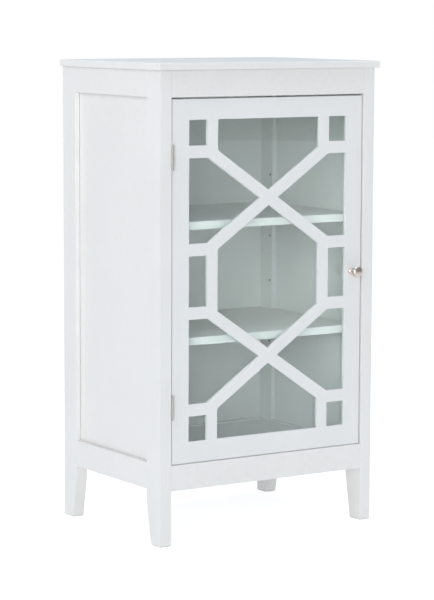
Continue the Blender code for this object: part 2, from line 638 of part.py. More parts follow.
def make_catch():
    """A magnetic catch on the right front post, its magnet facing the door's strike plate."""
    outer = INNER_X - GAP
    inner = outer - CATCH_SIZE[0]
    face = DOOR_REAR + CATCH_STANDOFF
    low = CATCH_TOP - CATCH_SIZE[2]
    housing = add_box("catch_housing", (inner, face, low), (outer, face + CATCH_SIZE[1], CATCH_TOP),
                      plastic)
    half = [CATCH_MAGNET[0] / 2 + GAP, 0.0, CATCH_MAGNET[2] / 2 + GAP]
    middle = (strike_x(), face, catch_middle())
    cut(housing, box_cutter("catch_pocket",
                            (middle[0] - half[0], face - CATCH_SIZE[1] / 2, middle[2] - half[2]),
                            (middle[0] + half[0], face + CATCH_MAGNET[1] + GAP, middle[2] + half[2])))
    cut(housing, round_cutter("catch_housing_holes", catch_screw_places(strike_x()),
                              CATCH_SCREW_HOLE_RADIUS, 2 * CATCH_SIZE[0], "x"))
    magnet_front = DOOR_REAR + GAP + STRIKE_SIZE[1] + GAP
    magnet_half = (CATCH_MAGNET[0] / 2, CATCH_MAGNET[2] / 2)
    add_box("catch_magnet", (middle[0] - magnet_half[0], magnet_front, middle[2] - magnet_half[1]),
            (middle[0] + magnet_half[0], face + CATCH_MAGNET[1], middle[2] + magnet_half[1]), magnet)

    screw_mesh = turned_mesh("catch_screw", catch_screw_profile(CATCH_SIZE[0] + GAP))
    for label, place in zip(("lower", "upper"), catch_screw_places(inner)):
        add_turned(f"catch_screw_{label}", screw_mesh, FINE_STEPS, steel, place,
                   turn=(0.0, math.pi / 2, 0.0))

    plate_face = DOOR_REAR + GAP
    plate_top = middle[2] + STRIKE_TOP
    strike_half = STRIKE_SIZE[0] / 2
    strike = add_box("catch_strike_plate",
                     (middle[0] - strike_half, plate_face, plate_top - STRIKE_SIZE[2]),
                     (middle[0] + strike_half, plate_face + STRIKE_SIZE[1], plate_top), steel, door)
    cut(strike, round_cutter("strike_hole", [strike_screw_place()], CATCH_SCREW_HOLE_RADIUS,
                             6 * STRIKE_SIZE[1], "y"))
    place = strike_screw_place()
    strike_screw = turned_mesh("catch_strike_screw", catch_screw_profile(STRIKE_SIZE[1] + GAP))
    add_turned("catch_strike_screw", strike_screw, FINE_STEPS, steel,
               (place[0], plate_face + STRIKE_SIZE[1], place[2]), turn=(math.pi / 2, 0.0, 0.0), parent=door)


def catch_screw_profile(grip):
    """A pan-head screw pointing up its local +Z, its head's flat just off the surface at zero."""
    tip = grip + CATCH_SCREW_BITE - GAP
    head = -GAP - CATCH_SCREW_HEAD_THICKNESS
    return [(0.0, tip), (CATCH_SCREW_RADIUS * 0.4, tip - CATCH_SCREW_POINT * 0.13),
            (CATCH_SCREW_RADIUS, tip - CATCH_SCREW_POINT),
            (CATCH_SCREW_RADIUS, -GAP), (CATCH_SCREW_HEAD_RADIUS, -GAP),
            (CATCH_SCREW_HEAD_RADIUS * 0.85, head * 0.8), (CATCH_SCREW_HEAD_RADIUS * 0.4, head),
            (0.0, head)]


# ---------------------------------------------------------------- the cabinet
clear_scene()
parts = new_collection("apothecary_cabinet")
cutters = new_collection("cutters")

white = make_material("white_lacquer", (0.80, 0.80, 0.79), 0.38)
door_white = make_material("door_lacquer", (0.78, 0.80, 0.81), 0.36)
glass = make_material("tinted_glass", (0.55, 0.64, 0.60), 0.05)
nickel = make_material("brushed_nickel", (0.66, 0.59, 0.50), 0.28, 1.0)
steel = make_material("zinc_steel", (0.62, 0.63, 0.65), 0.35, 1.0)
magnet = make_material("magnet_black", (0.05, 0.05, 0.055), 0.5)
plastic = make_material("white_plastic", (0.72, 0.72, 0.70), 0.5)

door = add_object("door_hinge_axis", None, parts, (HINGE_X, HINGE_Y, FRET_HEIGHT))

for post_side in (-1, 1):
    for post_end in ("front", "rear"):
        make_post(post_side, post_end)
        make_glide(post_side, post_end)
    make_side_frame(post_side)
make_cross_rails()
make_back_floor_and_top()
for shelf_name in SHELF_TOPS:
    make_shelf(shelf_name)
make_shelf_pins()
make_door_board()
make_door_frame()
make_knob()
make_hinge("upper", FRET_HEIGHT + HINGE_SPREAD)
make_hinge("lower", FRET_HEIGHT - HINGE_SPREAD)
make_catch()
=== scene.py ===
"""The finish of a satin-white apothecary cabinet with a glazed fretwork door.

Laid out as an add-on: the sidebar panel lists one operator for each piece or group of like pieces.
Every piece takes its size and place from the frame's own nodes.
"""

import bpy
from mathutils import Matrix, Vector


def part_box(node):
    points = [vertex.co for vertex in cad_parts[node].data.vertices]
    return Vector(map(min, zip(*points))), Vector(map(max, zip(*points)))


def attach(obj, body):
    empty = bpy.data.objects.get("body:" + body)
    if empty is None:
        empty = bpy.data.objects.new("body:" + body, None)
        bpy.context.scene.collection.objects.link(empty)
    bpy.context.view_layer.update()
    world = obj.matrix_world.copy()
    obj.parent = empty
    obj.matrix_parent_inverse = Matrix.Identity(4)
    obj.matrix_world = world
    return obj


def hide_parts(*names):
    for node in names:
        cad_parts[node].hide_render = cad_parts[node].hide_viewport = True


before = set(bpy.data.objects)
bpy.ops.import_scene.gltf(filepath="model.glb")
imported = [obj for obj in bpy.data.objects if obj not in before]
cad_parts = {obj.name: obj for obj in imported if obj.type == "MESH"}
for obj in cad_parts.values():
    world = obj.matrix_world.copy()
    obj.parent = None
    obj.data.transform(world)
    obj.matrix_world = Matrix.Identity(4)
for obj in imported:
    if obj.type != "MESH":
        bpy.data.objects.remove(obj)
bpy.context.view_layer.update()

import math

import bpy
from mathutils import Matrix, Vector

bl_info = {
    "name": "Apothecary cabinet",
    "version": (1, 0, 0),
    "blender": (4, 5, 0),
    "location": "3D View > Sidebar > Cabinet",
    "description": "Builds the finished pieces of a glazed apothecary cabinet round its frame",
    "category": "Add Mesh",
}

GAP = 0.0003                 # what the frame leaves between pieces that touch
PANEL_SLACK = 0.001          # left in the grooves outside the side panels
FINE_EASE = 0.0004           # radius on the edges of thin panels, the pane and the magnet
BEAD_EASE = 0.0007           # on the glazing beads and the catch's housing
PLATE_EASE = 0.0003          # on the strike plate
LEAF_CORNER = 0.0012         # on the free corners of the hinge leaves
LEAF_THICKNESS = 0.0010
WIDE_BORE = 0.0023           # radius of the holes for the knob's screw and the glides' nails
NARROW_BORE = 0.0017         # radius of the holes for the catch's screws
KNUCKLE_BORE = 0.0013        # radius of the hole through the hinge knuckles
BORE_SIDES = 24
FLAT = math.radians(1)       # faces that turn less than this are merged
SHARP = math.radians(30)     # edges that turn more than this can be eased
CREASE = math.radians(32)    # edges that turn more than this stay sharp when shaded smooth
AXES = {"X": Vector((1, 0, 0)), "Y": Vector((0, 1, 0)), "Z": Vector((0, 0, 1))}
GRAINS = {"upright": "Z", "across": "X", "deep": "Y"}
SIDES = ("left", "right")
ENDS = ("front", "rear")
LEVELS = ("upper", "lower")


# ---------- settings
def length_setting(name, description, default):
    return bpy.props.FloatProperty(name=name, description=description, default=default,
                                   min=0.0, unit="LENGTH")


def colour_setting(name, description, default):
    return bpy.props.FloatVectorProperty(name=name, description=description, default=default,
                                         min=0.0, max=1.0, subtype="COLOR")


class CabinetSizes(bpy.types.PropertyGroup):
    """Sizes that the frame's boxes don't give."""

    board_ease: length_setting("Board easing", "Radius sanded on the boards' edges", 0.0005)
    top_ease: length_setting("Top easing", "Radius on the edges of the top board", 0.0012)
    fret_ease: length_setting(
        "Fretwork easing", "Radius on the front edges of the fretwork's windows", 0.0005)
    taper_height: length_setting(
        "Taper height", "Where the taper of each leg begins, above the floor", 0.085)
    groove_depth: length_setting("Groove depth", "Depth of the grooves that hold the panels", 0.006)
    pin_hole_radius: length_setting("Pin hole radius", "Radius of the holes for the shelf pins", 0.0025)
    pin_hole_depth: length_setting("Pin hole depth", "Depth of the holes for the shelf pins", 0.0075)
    pin_step_down: length_setting("Lower hole", "How far the spare hole is below each shelf pin", 0.0508)
    pin_step_up: length_setting("Upper hole", "How far the spare hole is above each shelf pin", 0.0762)
    hinge_screw_radius: length_setting(
        "Hinge screw head", "Radius of the countersunk heads in the hinge leaves", 0.0028)


class CabinetFinish(bpy.types.PropertyGroup):
    """Colours and sheens of the finishes."""

    lacquer: colour_setting("Carcass lacquer", "White lacquer of the carcass", (0.828, 0.822, 0.808))
    door_lacquer: colour_setting(
        "Door lacquer", "Slightly cooler white lacquer of the door", (0.812, 0.820, 0.818))
    shelf_lacquer: colour_setting(
        "Shelf lacquer", "Slightly warmer white lacquer of the shelves", (0.835, 0.808, 0.782))
    lacquer_roughness: bpy.props.FloatProperty(
        name="Lacquer roughness", description="Roughness of the satin lacquer",
        default=0.38, min=0.0, max=1.0, subtype="FACTOR")
    glass: colour_setting("Glass tint", "What the pane lets through", (0.91, 0.978, 0.974))
    nickel: colour_setting(
        "Nickel", "Warm brushed nickel of the knob and the shelf pins", (0.76, 0.66, 0.58))
    hinge_nickel: colour_setting(
        "Hinge nickel", "Duller and less warm nickel of the hinges", (0.53, 0.505, 0.46))
    zinc: colour_setting("Zinc", "Plated screws and strike plate", (0.62, 0.63, 0.65))
    plastic: colour_setting(
        "Plastic", "Moulded plastic of the glides and the catch's housing", (0.80, 0.80, 0.785))


class CabinetStage(bpy.types.PropertyGroup):
    """Floor, light and camera."""

    camera_azimuth: bpy.props.FloatProperty(
        name="Camera turn", description="Turn of the camera to the cabinet's left",
        default=math.radians(33.201), subtype="ANGLE")
    camera_tilt: bpy.props.FloatProperty(
        name="Camera tilt", description="How far the camera looks down",
        default=math.radians(6.954), subtype="ANGLE")
    camera_roll: bpy.props.FloatProperty(
        name="Camera roll", description="How far the camera leans to one side",
        default=0.00366, subtype="ANGLE")
    camera_place: bpy.props.FloatVectorProperty(
        name="Camera place", description="Where the camera stands",
        default=(-2.5978, -3.9561, 1.0171), subtype="TRANSLATION", unit="LENGTH")
    camera_lens: bpy.props.FloatProperty(
        name="Lens", description="Focal length in millimetres on a 36 mm wide sensor",
        default=199.24, min=1.0)
    window_direction: bpy.props.FloatVectorProperty(
        name="Window direction", description="Where the brightest part of the surround is",
        default=(-0.67, -0.72, 0.07), subtype="DIRECTION")
    window_strength: bpy.props.FloatProperty(
        name="Window strength", description="Brightness of the brightest part of the surround",
        default=5.3, min=0.0)
    glass_boost: bpy.props.FloatProperty(
        name="Light through glass", description="What the surround gains for light that passes the pane",
        default=1.0, min=0.0)
    floor_radius: bpy.props.FloatProperty(
        name="Floor radius", description="Radius of the round studio floor",
        default=14.0, min=1.0, unit="LENGTH")


# ---------- places
def centre_of(node):
    """The middle of a frame node's box."""
    low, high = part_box(node)
    return (low + high) / 2


def near(value, target, slack=0.0002):
    return abs(value - target) < slack


# ---------- shader maths
class Value:
    """A number in a node tree: arithmetic on it adds the Math nodes that work it out."""

    def __init__(self, tree, socket):
        self.tree = tree
        self.socket = socket

    def math(self, operation, *operands):
        node = self.tree.node("ShaderNodeMath", {"operation": operation}, dict(enumerate(operands)))
        return Value(self.tree, node.outputs[0])

    def __add__(self, other):
        return self.math("ADD", self, other)

    def __radd__(self, other):
        return self.math("ADD", other, self)

    def __sub__(self, other):
        return self.math("SUBTRACT", self, other)

    def __rsub__(self, other):
        return self.math("SUBTRACT", other, self)

    def __mul__(self, other):
        return self.math("MULTIPLY", self, other)

    def __pow__(self, other):
        return self.math("POWER", self, other)

    def step(self, low, high):
        """Rises smoothly from 0 to 1 as the value goes from low to high."""
        node = self.tree.node("ShaderNodeMapRange", {"interpolation_type": "SMOOTHSTEP"}, {
            "Value": self, "From Min": low, "From Max": high})
        return Value(self.tree, node.outputs["Result"])


class Tree:
    """A node tree, of a material or of the surround, and the ways to add to it."""

    def __init__(self, tree):
        self.tree = tree

    def node(self, kind, settings=None, sockets=None):
        """Adds a node: its settings first, then the values or links of its sockets."""
        node = self.tree.nodes.new(kind)
        for key, value in (settings or {}).items():
            setattr(node, key, value)
        for key, value in (sockets or {}).items():
            self.set(node.inputs[key], value)
        return node

    def set(self, port, value):
        if isinstance(value, Value):
            self.tree.links.new(value.socket, port)
        elif isinstance(value, bpy.types.NodeSocket):
            self.tree.links.new(value, port)
        else:
            port.default_value = value

    def blend(self, factor, first, second, how="MIX"):
        """A colour between two colours."""
        node = self.node("ShaderNodeMix", {"data_type": "RGBA", "blend_type": how}, {
            0: factor, 6: first, 7: second})
        return node.outputs[2]

    def ray(self, kind):
        """A Light Path output, such as 1 for the camera's own rays."""
        return Value(self, self.node("ShaderNodeLightPath").outputs[kind])


class Recipe(Tree):
    """One material: its nodes, and the shader that they feed."""

    def __init__(self, name):
        self.material = bpy.data.materials.new(name)
        self.material.use_nodes = True
        super().__init__(self.material.node_tree)
        self.shader = self.tree.nodes["Principled BSDF"]
        self.place = self.node("ShaderNodeTexCoord").outputs["Object"]

    def feed(self, **values):
        """Sets the shader's own sockets; an underscore in a name stands for a space."""
        for name, value in values.items():
            self.set(self.shader.inputs[name.replace("_", " ")], value)

    def stretched(self, scale, centre=(0.0, 0.0, 0.0)):
        """The object's coordinates, centred and stretched along each axis."""
        start = [-centre[i] * scale[i] for i in range(3)]
        return self.node("ShaderNodeMapping", sockets={
            "Vector": self.place, "Location": start, "Scale": scale}).outputs["Vector"]

    def noise(self, scale, detail=2.0, roughness=0.5, where=None):
        node = self.node("ShaderNodeTexNoise", {"normalize": True}, {
            "Vector": where or self.place, "Scale": scale, "Detail": detail, "Roughness": roughness})
        return Value(self, node.outputs["Fac"])

    def attribute(self, name):
        return Value(self, self.node("ShaderNodeAttribute", {"attribute_name": name}).outputs["Fac"])

    def relief(self, height, depth, under=None):
        """A bump of the given depth in metres, over another one if there is one."""
        sockets = {"Height": height, "Distance": depth, "Strength": 1.0}
        if under is not None:
            sockets["Normal"] = under
        return self.node("ShaderNodeBump", sockets=sockets).outputs["Normal"]


def tone(colour, gain):
    """A colour scaled in brightness, as four numbers."""
    return (*[min(1.0, part * gain) for part in colour], 1.0)


def grey(level):
    return (level, level, level, 1.0)


# ---------- finishes
def lacquer(name, colour, roughness, grain):
    """Satin lacquer sprayed on board: orange peel, a trace of grain, thinner on eased edges."""
    recipe = Recipe(name)
    stretch = [22.0 if axis == grain else 900.0 for axis in "XYZ"]
    peel = recipe.noise(520.0, roughness=0.55)
    drift = recipe.noise(7.0, detail=3.0)
    fibre = recipe.noise(1.0, detail=3.0, where=recipe.stretched(stretch))
    edge = recipe.attribute("eased")
    thin = edge * recipe.noise(90.0, detail=3.0).step(0.42, 0.70)
    base = recipe.blend(drift.step(0.30, 0.72), tone(colour, 0.988), tone(colour, 1.010))
    base = recipe.blend(fibre.step(0.35, 0.75) * 0.06, base, tone(colour, 0.93))
    warm = tuple(part * gain for part, gain in zip(colour, (0.965, 0.945, 0.905)))
    base = recipe.blend(thin * 0.35, base, tone(warm, 1.0))
    # painted shade: the walls of the pin holes take raw board brown, made darker than bare board to stand
    # for the shade deep in the holes
    base = recipe.blend(recipe.attribute("bored"), base, (0.16, 0.105, 0.062, 1.0))
    normal = recipe.relief(peel, depth=0.000022, under=recipe.relief(fibre, depth=0.000008))
    recipe.feed(Base_Color=base, Roughness=roughness + (peel - 0.5) * 0.10 + (drift - 0.5) * 0.08,
                Normal=normal, Specular_IOR_Level=0.42, Coat_Weight=0.10, Coat_Roughness=0.22)
    return recipe.material


def float_glass(name, colour):
    """Clear float glass with a faint green tint and a trace of wiping marks; its shadow is light."""
    recipe = Recipe(name)
    wipe = recipe.noise(1.0, detail=3.0, where=recipe.stretched((9.0, 1.0, 3.0)))
    recipe.feed(Base_Color=recipe.blend(wipe.step(0.3, 0.8), tone(colour, 1.0), tone(colour, 0.985)),
                Roughness=0.008 + wipe.step(0.45, 0.85) * 0.016, Transmission_Weight=1.0, IOR=1.5)
    clear = recipe.node("ShaderNodeBsdfTransparent", sockets={"Color": tone(colour, 1.0)})
    mix = recipe.node("ShaderNodeMixShader", sockets={
        0: recipe.ray("Is Shadow Ray"), 1: recipe.shader.outputs["BSDF"], 2: clear.outputs["BSDF"]})
    recipe.set(recipe.tree.nodes["Material Output"].inputs["Surface"], mix.outputs["Shader"])
    return recipe.material


def turned_metal(name, colour, roughness, ring_axis, node, ring_depth):
    """Plated metal with the fine rings that a lathe or a polishing wheel leaves round one axis."""
    recipe = Recipe(name)
    lines = 5200.0
    where = recipe.stretched((1.0, 1.0, 1.0), centre_of(node))
    parts = recipe.node("ShaderNodeSeparateXYZ", sockets={"Vector": where})
    across = [Value(recipe, parts.outputs[axis]) for axis in "XYZ" if axis != ring_axis]
    radius = (across[0] * across[0] + across[1] * across[1]) ** 0.5
    along = Value(recipe, parts.outputs[ring_axis])
    spread = recipe.node("ShaderNodeCombineXYZ", sockets={"X": radius * lines, "Y": along * lines})
    rings = recipe.noise(1.0, where=spread.outputs["Vector"])
    haze = recipe.noise(160.0, detail=3.0)
    base = recipe.blend(haze.step(0.3, 0.75), tone(colour, 1.04), tone(colour, 0.92))
    recipe.feed(Base_Color=base, Roughness=roughness + rings * 0.10 + (haze - 0.5) * 0.08,
                Normal=recipe.relief(rings, ring_depth), Metallic=1.0)
    return recipe.material


def plated_metal(name, colour, roughness):
    """Barrel-plated steel: even, with a faint mottle."""
    recipe = Recipe(name)
    mottle = recipe.noise(420.0, detail=4.0, roughness=0.6)
    base = recipe.blend(mottle.step(0.3, 0.75), tone(colour, 1.05), tone(colour, 0.88))
    recipe.feed(Base_Color=base, Roughness=roughness + (mottle - 0.5) * 0.22,
                Normal=recipe.relief(mottle, depth=0.000010), Metallic=1.0)
    return recipe.material


def moulded_plastic(name, colour, roughness):
    """Moulded plastic with a fine spark-eroded skin."""
    recipe = Recipe(name)
    skin = recipe.noise(1500.0)
    flow = recipe.noise(60.0)
    recipe.feed(Base_Color=recipe.blend(flow.step(0.3, 0.7), tone(colour, 0.97), tone(colour, 1.03)),
                Roughness=roughness + (skin - 0.5) * 0.15, Normal=recipe.relief(skin, depth=0.000020))
    return recipe.material


def sintered_magnet(name):
    """Dark grey sintered ferrite, grainy and dull."""
    recipe = Recipe(name)
    grit = recipe.noise(2600.0, detail=3.0, roughness=0.7)
    recipe.feed(Base_Color=recipe.blend(grit, (0.030, 0.030, 0.033, 1.0), (0.085, 0.085, 0.090, 1.0)),
                Roughness=0.45 + grit * 0.25, Normal=recipe.relief(grit, depth=0.000030))
    return recipe.material


finishes = {}


def finish(kind):
    """One of the cabinet's finishes, made the first time that it is asked for."""
    if kind not in finishes:
        chosen = bpy.context.scene.cabinet_finish
        family, _, grain = kind.rpartition("_")
        if grain in GRAINS:
            colour, roughness = getattr(chosen, family), chosen.lacquer_roughness
            finishes[kind] = lacquer(kind, colour, roughness, GRAINS[grain])
        else:
            finishes[kind] = other_finish(kind, chosen)
    return finishes[kind]


def other_finish(kind, chosen):
    """A finish that isn't lacquer."""
    makers = {
        "float_glass": lambda: float_glass(kind, chosen.glass),
        "knob_nickel": lambda: turned_metal(kind, chosen.nickel, 0.25, "Y", "door_knob", 0.000006),
        "hinge_nickel": lambda: turned_metal(
            kind, chosen.hinge_nickel, 0.30, "Z", "hinge_upper_pin", 0.000002),
        "pin_nickel": lambda: plated_metal(kind, chosen.nickel, 0.26),
        "zinc_plate": lambda: plated_metal(kind, chosen.zinc, 0.34),
        "moulded_white": lambda: moulded_plastic(kind, chosen.plastic, 0.48),
        "ferrite_black": lambda: sintered_magnet(kind),
    }
    return makers[kind]()


# ---------- modelling by operators
def measures():
    return bpy.context.scene.cabinet_sizes


def mode(name):
    bpy.ops.object.mode_set(mode=name)


def pick(*objects):
    """Selects these objects and nothing else, the last one active."""
    if bpy.context.object and bpy.context.object.mode != "OBJECT":
        mode("OBJECT")
    bpy.ops.object.select_all(action="DESELECT")
    for obj in objects:
        obj.select_set(True)
        bpy.context.view_layer.objects.active = obj


def settle(obj):
    """Moves an object's place, turn and scale into its mesh."""
    pick(obj)
    bpy.ops.object.transform_apply(location=True, rotation=True, scale=True)
    return obj


def added(name):
    """The object that has just been added, named and settled."""
    bpy.context.object.name = name
    return settle(bpy.context.object)


def block(name, low, high):
    """A block between two corners."""
    pick()
    low, high = Vector(low), Vector(high)
    bpy.ops.mesh.primitive_cube_add(size=1.0, location=(low + high) / 2, scale=high - low)
    return added(name)


def rod(name, centre, radius, length, axis, sides=BORE_SIDES):
    """A round bar centred on a place and lying along an axis."""
    pick()
    turn = {"X": (0.0, math.pi / 2, 0.0), "Y": (math.pi / 2, 0.0, 0.0), "Z": (0.0, 0.0, 0.0)}[axis]
    bpy.ops.mesh.primitive_cone_add(vertices=sides, radius1=radius, radius2=radius, depth=length,
                                    location=centre, rotation=turn)
    return added(name)


def merged_copy(node):
    """A copy of a frame node's mesh, its loose triangles merged back into flat faces."""
    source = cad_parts[node]
    obj = bpy.data.objects.new(node + "_finished", source.data.copy())
    bpy.context.scene.collection.objects.link(obj)
    obj.data.materials.clear()
    pick(obj)
    mode("EDIT")
    bpy.ops.mesh.select_all(action="SELECT")
    bpy.ops.mesh.remove_doubles(threshold=0.00001)
    bpy.ops.mesh.dissolve_limited(angle_limit=FLAT)
    mode("OBJECT")
    return obj


def select_edges(obj, wanted):
    """In edit mode, leaves only those sharp edges selected for which wanted(start, end) is true."""
    pick(obj)
    mode("EDIT")
    bpy.ops.mesh.select_mode(type="EDGE")
    bpy.ops.mesh.select_all(action="DESELECT")
    bpy.ops.mesh.edges_select_sharp(sharpness=SHARP)
    mode("OBJECT")
    points = obj.data.vertices
    for edge in obj.data.edges:
        first, second = (points[i].co for i in edge.vertices)
        edge.select = edge.select and wanted(first, second)
    mode("EDIT")


def ease(obj, radius, wanted=lambda first, second: True, segments=3):
    """Rounds the chosen sharp edges and marks the new faces, so that the finish can tell them."""
    select_edges(obj, wanted)
    bpy.ops.mesh.bevel(offset_type="OFFSET", offset=radius, segments=segments, profile=0.5,
                       clamp_overlap=True)
    mode("OBJECT")
    mark = obj.data.attributes.get("eased") or obj.data.attributes.new("eased", "FLOAT", "FACE")
    for face, slot in zip(obj.data.polygons, mark.data):
        slot.value = max(slot.value, 1.0 if face.select else 0.0)
    return obj


def carve(obj, *tools, operation="DIFFERENCE"):
    """Cuts tools out of an object, or joins them to it, and removes them."""
    for tool in tools:
        pick(obj)
        cut = obj.modifiers.new("carve", "BOOLEAN")
        cut.operation = operation
        cut.solver = "EXACT"
        cut.object = tool
        bpy.ops.object.modifier_apply(modifier=cut.name)
        bpy.data.objects.remove(tool, do_unlink=True)
    return obj


def mark_bores(obj, mouths, radius, axis):
    """Marks the walls of round holes, where the finish shows raw board, painted darker than bare board as
    painted shade in the holes.
    """
    mark = obj.data.attributes.new("bored", "FLOAT", "FACE")
    across = [i for i in range(3) if i != "XYZ".index(axis)]
    reach = radius * 1.02
    for face, slot in zip(obj.data.polygons, mark.data):
        inside = any(math.hypot(*(face.center[i] - mouth[i] for i in across)) < reach for mouth in mouths)
        slot.value = 1.0 if inside else 0.0


def polish(obj):
    """Smooth shading that keeps creases sharp and flats flat."""
    pick(obj)
    bpy.ops.object.shade_smooth_by_angle(angle=CREASE)
    weighted = obj.modifiers.new("weighted", "WEIGHTED_NORMAL")
    weighted.keep_sharp = True
    bpy.ops.object.modifier_apply(modifier=weighted.name)
    return obj


def hang(obj, body, kind, slot, *nodes):
    """Gives a piece its finish and its body, and hides the nodes it stands for. The slot is not used."""
    obj.data.materials.clear()
    obj.data.materials.append(finish(kind))
    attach(obj, body)
    if nodes:
        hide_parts(*nodes)
    return obj


def direction(name):
    """The direction called X, -Y and so on."""
    return AXES[name.strip("-")] * (-1 if name.startswith("-") else 1)


def turned(name, profile, centre, axis, steps):
    """A turned piece: a profile of (radius, distance) points, drawn by extruding and spun round."""
    along = direction(axis)
    across = AXES["X"] if axis.strip("-") != "X" else AXES["Y"]
    points = [Vector(centre) + along * distance + across * radius for radius, distance in profile]
    pick()
    bpy.ops.mesh.primitive_plane_add(size=0.001, location=points[0])
    obj = added(name)
    mode("EDIT")
    bpy.ops.mesh.select_mode(type="VERT")
    bpy.ops.mesh.select_all(action="SELECT")
    bpy.ops.mesh.merge(type="CENTER")
    for first, second in zip(points, points[1:]):
        bpy.ops.mesh.extrude_region_move(TRANSFORM_OT_translate={"value": second - first})
    bpy.ops.mesh.select_all(action="SELECT")
    bpy.ops.mesh.spin(steps=steps, angle=2 * math.pi, center=centre, axis=along)
    bpy.ops.mesh.select_all(action="SELECT")
    bpy.ops.mesh.remove_doubles(threshold=0.000005)
    bpy.ops.mesh.normals_make_consistent(inside=False)
    mode("OBJECT")
    return obj


def twin(source, name, offset, half_turn_about=None):
    """A copy of a piece with its own mesh, turned half round an upright axis if asked, then moved."""
    pick(source)
    bpy.ops.object.duplicate(linked=False)
    if half_turn_about is not None:
        bpy.ops.transform.rotate(value=math.pi, orient_axis="Z", center_override=half_turn_about)
    bpy.ops.transform.translate(value=offset)
    return added(name)


def twins(first, nodes, turned_side=None):
    """The piece that stands for the first node, then a copy of it for each of the others."""
    home = centre_of(nodes[0])
    made = [first]
    for node in nodes[1:]:
        about = home if turned_side and node.endswith(turned_side) else None
        made.append(twin(first, node + "_finished", centre_of(node) - home, about))
    return made


# ---------- boards
def board(node, grain, body="cabinet", radius=None, cutters=()):
    """A board the size of its node: a block with eased edges, then its grooves or holes."""
    low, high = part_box(node)
    radius = measures().board_ease if radius is None else radius
    piece = ease(block(node + "_finished", low, high), radius)
    carve(piece, *cutters)
    family, slot = ("door_lacquer",) * 2 if body == "door" else ("lacquer", "white_lacquer")
    return hang(polish(piece), body, f"{family}_{grain}", slot, node)


def groove_cutter(panel, axis, face):
    """A cutter for the groove that a panel's tongue sits in, sunk along one axis from a face."""
    depth = measures().groove_depth
    low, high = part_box(panel)
    margin = Vector((GAP, GAP, GAP))
    low, high = low - margin, high + margin
    if panel == "side_panel_left":
        low.x -= PANEL_SLACK - GAP
    if panel == "side_panel_right":
        high.x += PANEL_SLACK - GAP
    index = "XYZ".index(axis)
    low[index], high[index] = face - depth, face + depth
    return block("groove_cutter", low, high)


def taper(post, end, side):
    """Narrows a post below the taper's height towards the depth of its foot."""
    height = measures().taper_height
    low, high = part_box(f"post_{end}_{side}")
    glide_low, glide_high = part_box(f"foot_glide_{end}_{side}")
    inner, inward = (high.y, 1) if end == "front" else (low.y, -1)
    margin = glide_low.y - low.y if end == "front" else high.y - glide_high.y
    foot = glide_high.y - glide_low.y + 2 * margin
    depth = high.y - low.y
    foot_here = foot + (depth - foot) * low.z / height

    mode("EDIT")
    bpy.ops.mesh.select_all(action="SELECT")
    bpy.ops.mesh.bisect(plane_co=(0.0, 0.0, height), plane_no=(0.0, 0.0, 1.0))
    bpy.ops.mesh.select_mode(type="VERT")
    bpy.ops.mesh.select_all(action="DESELECT")
    mode("OBJECT")
    for point in post.data.vertices:
        point.select = near(point.co.z, low.z) and near(point.co.y, inner)
    mode("EDIT")
    bpy.ops.transform.translate(value=(0.0, inward * (foot_here - depth), 0.0))
    mode("OBJECT")


def pin_mouths(end, side, face):
    """Where a post's shelf pin holes open, on its inner face."""
    mouths = []
    for level in LEVELS:
        pin = centre_of(f"shelf_pin_{level}_{end}_{side}")
        mouths += [Vector((face, pin.y, pin.z + step))
                   for step in (-measures().pin_step_down, 0.0, measures().pin_step_up)]
    return mouths


def make_post(end, side):
    """A post with its tapered leg, panel grooves, pin holes and the glide's nail hole."""
    node = f"post_{end}_{side}"
    low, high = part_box(node)
    post = block(node + "_finished", low, high)
    taper(post, end, side)
    ease(post, measures().board_ease, lambda first, second: not (
        near(first.z, second.z) and first.z < measures().taper_height + GAP))

    inner_x = high.x if side == "left" else low.x
    cutters = [groove_cutter(f"side_panel_{side}", "Y", high.y if end == "front" else low.y)]
    if end == "rear":
        cutters.append(groove_cutter("back_panel", "X", inner_x))
    mouths = pin_mouths(end, side, inner_x)
    hole, depth = measures().pin_hole_radius, measures().pin_hole_depth
    cutters += [rod("pin_hole_cutter", mouth, hole, 2 * depth, "X") for mouth in mouths]
    glide = f"foot_glide_{end}_{side}"
    nail, nail_top = centre_of(glide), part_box(glide)[1].z
    cutters.append(rod("nail_hole_cutter", (nail.x, nail.y, nail_top / 2), WIDE_BORE,
                       nail_top + 2 * GAP, "Z"))
    if (end, side) == ("front", "right"):
        for level in reversed(LEVELS):
            screw, screw_tip = centre_of(f"catch_screw_{level}"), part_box(f"catch_screw_{level}")[1].x
            cutters.append(rod("catch_hole_cutter", (inner_x, screw.y, screw.z), NARROW_BORE,
                               2 * (screw_tip - inner_x + GAP), "X"))
    carve(post, *cutters)
    mark_bores(post, mouths, hole, "X")
    hang(polish(post), "cabinet", "lacquer_upright", "white_lacquer", node)


# ---------- operators
class CabinetOperator:
    """What the cabinet's operators share."""

    bl_options = {"REGISTER", "UNDO"}

    def execute(self, context):
        self.build(context)
        return {"FINISHED"}


class CABINET_OT_posts(CabinetOperator, bpy.types.Operator):
    """Four posts that run down into legs, tapered on the edges that face each other."""

    bl_idname = "cabinet.posts"
    bl_label = "Posts"

    def build(self, context):
        for side in SIDES:
            for end in ENDS:
                make_post(end, side)


class CABINET_OT_foot_glides(CabinetOperator, bpy.types.Operator):
    """Four nail-on plastic glides with chamfered rims."""

    bl_idname = "cabinet.foot_glides"
    bl_label = "Foot glides"

    def build(self, context):
        nodes = [f"foot_glide_{end}_{side}" for side in SIDES for end in ENDS]
        glide = ease(merged_copy(nodes[0]), FINE_EASE,
                     lambda first, second: near(first.z, 0.0) and near(second.z, 0.0), segments=2)
        for piece, node in zip(twins(polish(glide), nodes), nodes):
            hang(piece, "cabinet", "moulded_white", "white_plastic", node)


